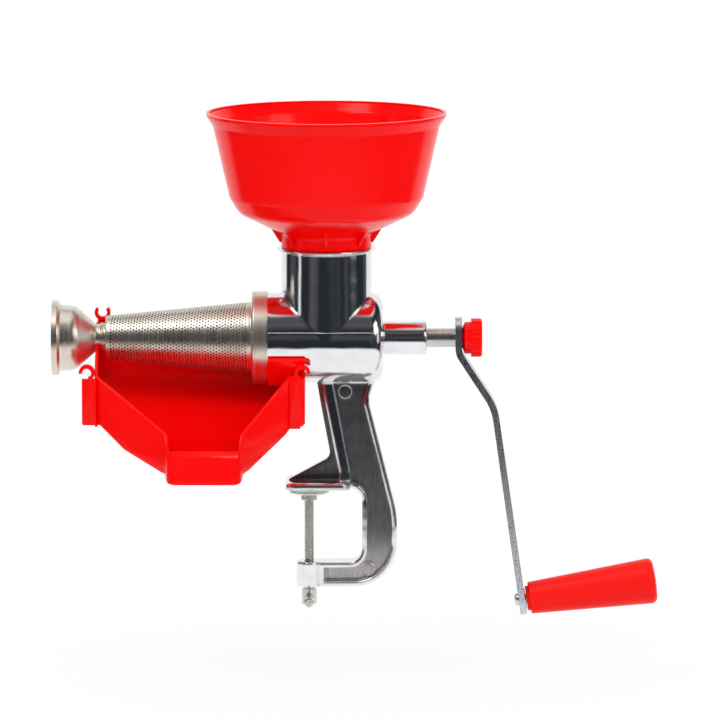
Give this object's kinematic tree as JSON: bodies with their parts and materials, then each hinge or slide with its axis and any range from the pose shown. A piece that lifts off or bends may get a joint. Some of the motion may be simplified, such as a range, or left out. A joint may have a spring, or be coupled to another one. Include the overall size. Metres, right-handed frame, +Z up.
{
  "type": "hand cranked tomato strainer",
  "caption": "Table-clamp tomato strainer: crank-driven auger in a cast body, perforated steel cone, feed hopper and juice chute.",
  "frame": {"origin": "on the clamp screw's axis, on the underside of the clamp jaw that rests on the table top", "axes": "+X along the auger's axis from the waste outlet to the crank, +Y away from the juice spout, +Z up"},
  "size_m": [0.4848, 0.1945, 0.4057],
  "materials": {
    "cast_aluminium": "polished casting",
    "red_plastic": "glossy injection moulding",
    "red_grip": "satin injection moulding",
    "strainer_steel": "spun stainless sheet",
    "shaft_steel": "turned steel",
    "plated_bar": "nickel plated flat bar with worn edges",
    "plated_hardware": "zinc plated",
    "auger_nylon": "moulded nylon",
    "bush_nylon": "moulded nylon",
    "seal_rubber": "soft rubber",
    "insert_brass": "turned brass"
  },
  "bodies": {
    "frame": {"body_casting": "cast_aluminium", "strainer_cone": "strainer_steel", "cone_band": "strainer_steel", "outlet_bell": "strainer_steel", "cone_gasket": "seal_rubber", "shaft_bush": "bush_nylon", "shaft_seal": "seal_rubber", "juice_tray": "red_plastic"},
    "drive": {"auger": "auger_nylon", "auger_shaft": "shaft_steel", "drive_pin": "shaft_steel", "thrust_washer": "shaft_steel", "auger_spring": "shaft_steel", "crank_arm": "plated_bar", "crank_knob": "red_plastic", "knob_insert": "insert_brass", "grip_spindle": "plated_hardware", "grip_washer": "plated_hardware", "grip_end_screw": "plated_hardware"},
    "grip": {"grip": "red_grip"},
    "hopper": {"hopper": "red_plastic"},
    "clamp_pad": {"clamp_pad": "plated_hardware"},
    "clamp_screw": {"clamp_screw": "plated_hardware"},
    "clamp_bar": {"clamp_bar": "plated_hardware"}
  },
  "joints": [
    {"name": "crank_turn", "type": "hinge", "parent": "frame", "child": "drive", "pos_m": [0, 0, 0.12], "axis": [1, 0, 0], "continuous": true},
    {"name": "grip_spin", "type": "hinge", "parent": "drive", "child": "grip", "pos_m": [0.1709, 0, -0.092], "axis": [0.9898, 0, 0.1423], "continuous": true},
    {"name": "hopper_lift", "type": "slide", "parent": "frame", "child": "hopper", "axis": [0, 0, 1], "range_m": [0, 0.03]},
    {"name": "clamp_travel", "type": "slide", "parent": "frame", "child": "clamp_pad", "axis": [0, 0, -1], "range_m": [0, 0.048]},
    {"name": "screw_turn", "type": "hinge", "parent": "clamp_pad", "child": "clamp_screw", "pos_m": [0, 0, -0.04], "axis": [0, 0, 1], "range_deg": [0, 11521]},
    {"name": "bar_slide", "type": "slide", "parent": "clamp_screw", "child": "clamp_bar", "axis": [0, 1, 0], "range_m": [-0.022, 0.022]}
  ],
  "couplings": [
    {"joint": "screw_turn", "follows": "clamp_travel", "rad_per_m": 4188.8}
  ]
}
